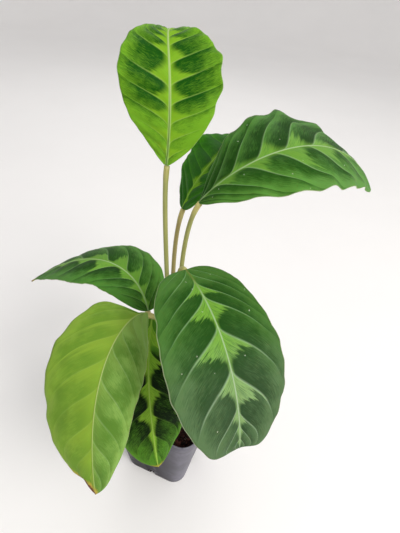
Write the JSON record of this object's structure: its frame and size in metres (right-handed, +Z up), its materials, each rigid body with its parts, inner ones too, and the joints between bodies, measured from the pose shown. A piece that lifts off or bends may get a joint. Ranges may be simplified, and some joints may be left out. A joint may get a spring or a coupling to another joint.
{
  "type": "potted calathea",
  "caption": "Young calathea with broad patterned leaves on slender stalks, growing from one crown of soil in a square nursery pot.",
  "frame": {"origin": "centre of the pot's underside, on the surface that it stands on", "axes": "+Z up; X and Y along the sides of the square pot; the long leaf on the left points to -X and the front leaves lean to -Y"},
  "size_m": [0.2564, 0.2352, 0.3992],
  "materials": {
    "pot": "satin",
    "soil": "matte",
    "stalk": "satin",
    "leaf_young": "satin",
    "leaf_dark": "satin",
    "leaf_old": "satin"
  },
  "bodies": {
    "root": {"pot": "pot", "soil": "soil", "stalk_top": "stalk", "blade_top": "leaf_young", "stalk_right": "stalk", "blade_right": "leaf_dark", "stalk_back": "stalk", "blade_back": "leaf_dark", "stalk_left": "stalk", "blade_left": "leaf_dark", "stalk_front_right": "stalk", "blade_front_right": "leaf_dark", "stalk_front_left": "stalk", "blade_front_left": "leaf_old", "stalk_front_centre": "stalk", "blade_front_centre": "leaf_dark"}
  },
  "joints": []
}
